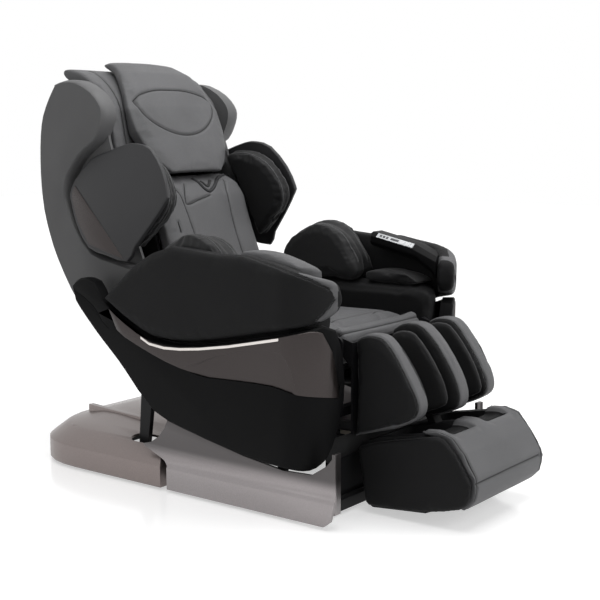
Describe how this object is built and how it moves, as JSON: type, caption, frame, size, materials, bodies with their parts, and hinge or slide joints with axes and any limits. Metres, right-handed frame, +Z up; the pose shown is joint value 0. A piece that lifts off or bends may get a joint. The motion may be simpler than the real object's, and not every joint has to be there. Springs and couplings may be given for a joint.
{
  "type": "massage chair",
  "caption": "Reclining body-massage chair with shoulder wings, padded arms, calf and foot massage unit and a sliding base.",
  "frame": {"origin": "middle of the chair's footprint, at the floor under the feet", "axes": "+Z up, -Y the way the sitter faces, +X towards the sitter's left"},
  "size_m": [0.83, 1.5304, 1.257],
  "materials": {
    "leather": "satin",
    "airbag_cloth": "matt",
    "shell_black": "satin",
    "bronze": "metallic satin",
    "bright_trim": "brushed",
    "frame_steel": "satin",
    "bare_steel": "brushed",
    "housing": "matt",
    "roller": "satin",
    "rubber": "matt",
    "display": "gloss",
    "key": "gloss"
  },
  "bodies": {
    "base": {"base_frame": "frame_steel", "base_feet": "rubber", "rear_base_cover": "bronze"},
    "wheels": {"transport_wheels": "rubber"},
    "chassis": {"chassis_frame": "frame_steel", "glide_shoes": "roller", "skirt_left": "bronze", "skirt_right": "bronze", "front_kick_panel": "shell_black"},
    "seat": {"seat_frame": "frame_steel", "seat_cushion": "leather", "seat_apron": "leather", "side_shell_left": "shell_black", "side_shell_right": "shell_black", "side_trim_left": "bronze", "side_trim_right": "bronze", "trim_rails": "bright_trim", "arm_pad_left": "leather", "arm_pad_right": "leather", "arm_inner_pad_left": "leather", "arm_inner_pad_right": "leather", "hand_airbags_left": "airbag_cloth", "hand_airbags_right": "airbag_cloth", "arm_cap_right": "leather", "controller_pod": "shell_black", "pod_display": "display", "control_box": "housing", "recline_actuator": "housing"},
    "key_a": {"pod_key_a": "key"},
    "key_b": {"pod_key_b": "key"},
    "recline_ram": {"recline_rod": "bare_steel"},
    "legrest_drive": {"legrest_actuator": "housing"},
    "legrest_ram": {"legrest_rod": "bare_steel"},
    "back": {"back_frame": "frame_steel", "back_shell": "shell_black", "back_side_left": "shell_black", "back_side_right": "shell_black", "upper_back_pad": "leather", "back_cushion": "leather", "wing_shell_left": "shell_black", "wing_shell_right": "shell_black", "wing_inlays": "bronze", "wing_airbags_left": "airbag_cloth", "wing_airbags_right": "airbag_cloth", "carriage_screw": "bare_steel"},
    "pillow": {"head_pillow": "leather"},
    "carriage": {"carriage_frame": "frame_steel"},
    "kneading_head": {"roller_arms": "bare_steel"},
    "upper_roller_pair": {"upper_rollers": "roller"},
    "lower_roller_pair": {"lower_rollers": "roller"},
    "legrest": {"calf_frame": "frame_steel", "calf_pad_left": "leather", "calf_pad_right": "leather", "calf_divider": "leather", "calf_airbags": "airbag_cloth", "calf_back_pads": "airbag_cloth"},
    "footrest": {"foot_housing": "housing", "foot_cover": "leather", "foot_side_pads": "leather"},
    "sole_roller": {"sole_rollers": "roller"}
  },
  "joints": [
    {"name": "wheel_spin", "type": "hinge", "parent": "base", "child": "wheels", "pos_m": [0, 0.69, 0.028], "axis": [-1, 0, 0], "continuous": true},
    {"name": "body_glide", "type": "slide", "parent": "base", "child": "chassis", "axis": [0, -1, 0], "range_m": [0, 0.13]},
    {"name": "zero_gravity_tilt", "type": "hinge", "parent": "chassis", "child": "seat", "pos_m": [0, 0.285, 0.29], "axis": [-1, 0, 0], "range_deg": [0, 12]},
    {"name": "backrest_recline", "type": "hinge", "parent": "seat", "child": "back", "pos_m": [0, 0.235, 0.4], "axis": [-1, 0, 0], "range_deg": [0, 35]},
    {"name": "pillow_flip", "type": "hinge", "parent": "back", "child": "pillow", "pos_m": [0, 0.672, 1.236], "axis": [-1, 0, 0], "range_deg": [0, 100]},
    {"name": "massage_travel", "type": "slide", "parent": "back", "child": "carriage", "axis": [0, 0.3584, 0.9336], "range_m": [0, 0.165]},
    {"name": "kneading_rock", "type": "hinge", "parent": "carriage", "child": "kneading_head", "pos_m": [0, 0.41585, 0.60277], "axis": [-1, 0, 0], "range_deg": [-8, 8]},
    {"name": "upper_roller_spin", "type": "hinge", "parent": "kneading_head", "child": "upper_roller_pair", "pos_m": [0, 0.38313, 0.68495], "axis": [-1, 0, 0], "continuous": true},
    {"name": "lower_roller_spin", "type": "hinge", "parent": "kneading_head", "child": "lower_roller_pair", "pos_m": [0, 0.33654, 0.56359], "axis": [-1, 0, 0], "continuous": true},
    {"name": "legrest_lift", "type": "hinge", "parent": "seat", "child": "legrest", "pos_m": [0, -0.345, 0.465], "axis": [-1, 0, 0], "range_deg": [0, 55]},
    {"name": "footrest_extend", "type": "slide", "parent": "legrest", "child": "footrest", "axis": [0, -0.5, -0.866], "range_m": [0, 0.125]},
    {"name": "sole_roller_spin", "type": "hinge", "parent": "footrest", "child": "sole_roller", "pos_m": [0, -0.56, 0.078], "axis": [-1, 0, 0], "continuous": true},
    {"name": "recline_stroke", "type": "slide", "parent": "seat", "child": "recline_ram", "axis": [0, 0.9955, 0.0948], "range_m": [-0.046, 0]},
    {"name": "legrest_drive_swing", "type": "hinge", "parent": "seat", "child": "legrest_drive", "pos_m": [0, -0.06, 0.3], "axis": [-1, 0, 0], "range_deg": [0, 10]},
    {"name": "legrest_stroke", "type": "slide", "parent": "legrest_drive", "child": "legrest_ram", "axis": [0, -0.9954, 0.0963], "range_m": [0, 0.12]},
    {"name": "key_a_press", "type": "slide", "parent": "seat", "child": "key_a", "axis": [0.7071, 0.1398, -0.6932], "range_m": [0, 0.0015], "stiffness_N_per_m": 500, "springref_m": -0.001},
    {"name": "key_b_press", "type": "slide", "parent": "seat", "child": "key_b", "axis": [0.7071, 0.1398, -0.6932], "range_m": [0, 0.0015], "stiffness_N_per_m": 500, "springref_m": -0.001}
  ],
  "couplings": [
    {"joint": "footrest_extend", "follows": "legrest_lift", "m_per_rad": 0.125},
    {"joint": "recline_stroke", "follows": "backrest_recline", "m_per_rad": -0.0712},
    {"joint": "legrest_drive_swing", "follows": "legrest_lift", "ratio": 0.169},
    {"joint": "legrest_stroke", "follows": "legrest_lift", "m_per_rad": 0.1173}
  ]
}
